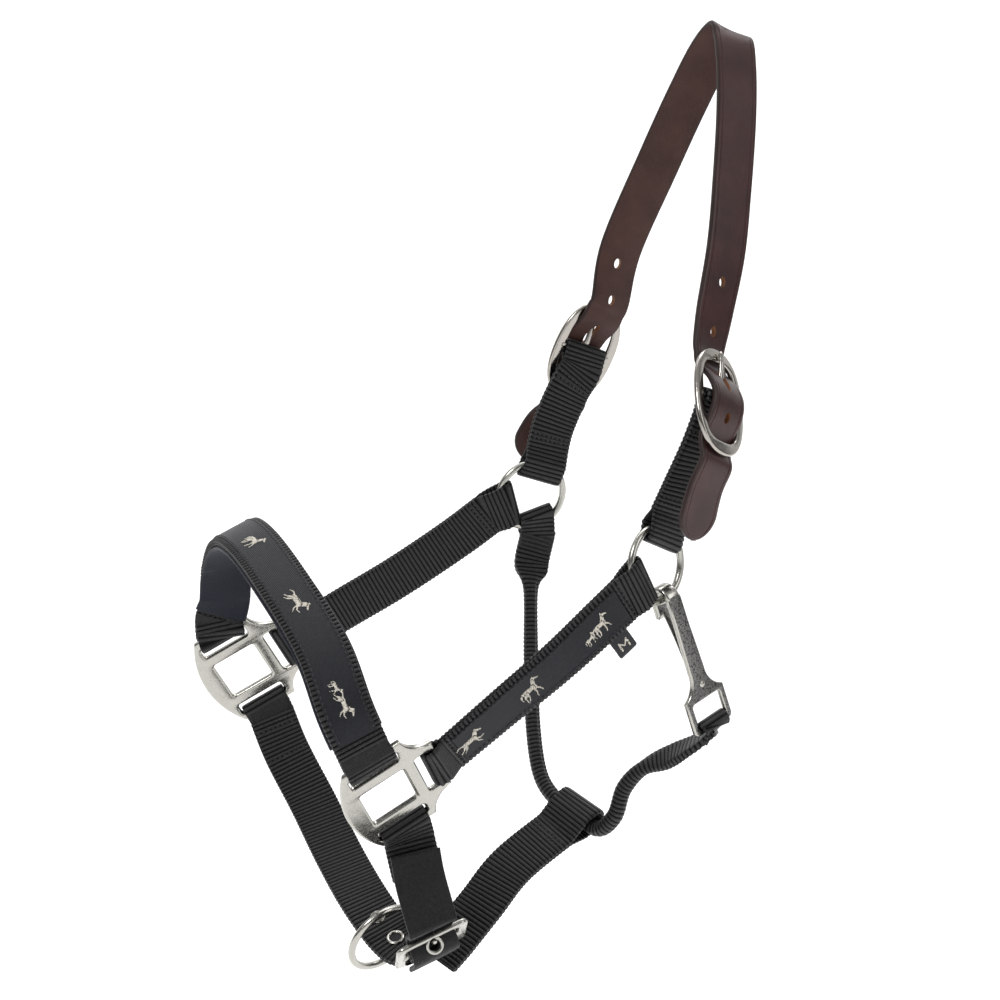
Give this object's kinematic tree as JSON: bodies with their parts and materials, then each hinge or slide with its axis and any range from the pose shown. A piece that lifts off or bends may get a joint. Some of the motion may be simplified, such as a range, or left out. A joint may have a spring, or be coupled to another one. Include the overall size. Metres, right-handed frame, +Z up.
{
  "type": "webbing headcollar",
  "caption": "Horse headcollar of nylon webbing straps with a leather buckled crown, cast squares, rings, chin buckle and a rolled throat strap that clips with a snap.",
  "frame": {"origin": "underside of the crown strap at its highest point, where it lies over the poll or a peg", "axes": "+Z up, noseband toward -X, near side with the snap toward -Y"},
  "size_m": [0.3174, 0.2132, 0.5217],
  "materials": {
    "leather": "glossy",
    "webbing": "ribbed nylon",
    "ribbon": "satin twill",
    "lining": "smooth",
    "tag": "woven",
    "buckle_metal": "polished dark nickel",
    "ring_metal": "satin",
    "cast_metal": "satin cast nickel",
    "spring_steel": "plain"
  },
  "bodies": {
    "straps": {"crown_strap": "leather", "crown_buckle_frame_near": "buckle_metal", "crown_buckle_frame_far": "buckle_metal", "crown_tab_near": "webbing", "crown_tab_far": "webbing", "cheek_webbing_near": "webbing", "cheek_webbing_far": "webbing", "cheek_ribbon_near": "ribbon", "cheek_ribbon_far": "ribbon", "square_near": "cast_metal", "square_far": "cast_metal", "nose_webbing": "webbing", "nose_ribbon": "ribbon", "nose_padding": "lining", "chin_loop_near": "webbing", "chin_strap": "webbing", "chin_buckle_frame": "buckle_metal", "chin_strap_far": "webbing", "chin_eyelets": "buckle_metal", "rear_strap": "webbing", "throat_strap": "webbing", "size_tag": "tag"},
    "near_ring": {"cheek_ring_near": "ring_metal"},
    "far_ring": {"cheek_ring_far": "ring_metal"},
    "lead_ring": {"chin_ring": "ring_metal"},
    "near_tongue": {"crown_tongue_near": "buckle_metal"},
    "far_tongue": {"crown_tongue_far": "buckle_metal"},
    "chin_prong": {"chin_tongue": "buckle_metal"},
    "snap": {"snap_body": "cast_metal", "snap_rivet": "buckle_metal"},
    "snap_leaf": {"snap_spring": "spring_steel"}
  },
  "joints": [
    {"name": "near_ring_turn", "type": "hinge", "parent": "straps", "child": "near_ring", "pos_m": [-0.046, -0.06, -0.292], "axis": [0.7115, -0.7015, -0.0401], "continuous": true},
    {"name": "far_ring_turn", "type": "hinge", "parent": "straps", "child": "far_ring", "pos_m": [-0.11, 0.06, -0.255], "axis": [-0.3384, 0.8659, 0.3683], "continuous": true},
    {"name": "lead_ring_tilt", "type": "hinge", "parent": "straps", "child": "lead_ring", "pos_m": [-0.191, -0.031, -0.494], "axis": [0.8152, 0.4315, 0.3864], "range_deg": [-20, 20]},
    {"name": "near_tongue_lift", "type": "hinge", "parent": "straps", "child": "near_tongue", "pos_m": [-0.014, -0.068, -0.207], "axis": [0.6723, 0.6908, -0.2661], "range_deg": [0, 8]},
    {"name": "far_tongue_lift", "type": "hinge", "parent": "straps", "child": "far_tongue", "pos_m": [-0.079, 0.058, -0.171], "axis": [-0.8361, -0.4859, 0.2546], "range_deg": [0, 8]},
    {"name": "chin_tongue_lift", "type": "hinge", "parent": "straps", "child": "chin_prong", "pos_m": [-0.164, -0.066, -0.49], "axis": [0.8785, 0.3006, 0.3713], "range_deg": [0, 8]},
    {"name": "snap_swing", "type": "hinge", "parent": "straps", "child": "snap", "pos_m": [-0.0141, -0.03793, -0.37763], "axis": [0.7527, 0.5135, 0.412], "range_deg": [-0.8, 0.8]},
    {"name": "snap_leaf_open", "type": "hinge", "parent": "snap", "child": "snap_leaf", "pos_m": [-0.02455, -0.04318, -0.352], "axis": [0.7527, 0.5135, 0.412], "range_deg": [0, 8], "stiffness_Nm_per_rad": 0.4}
  ]
}
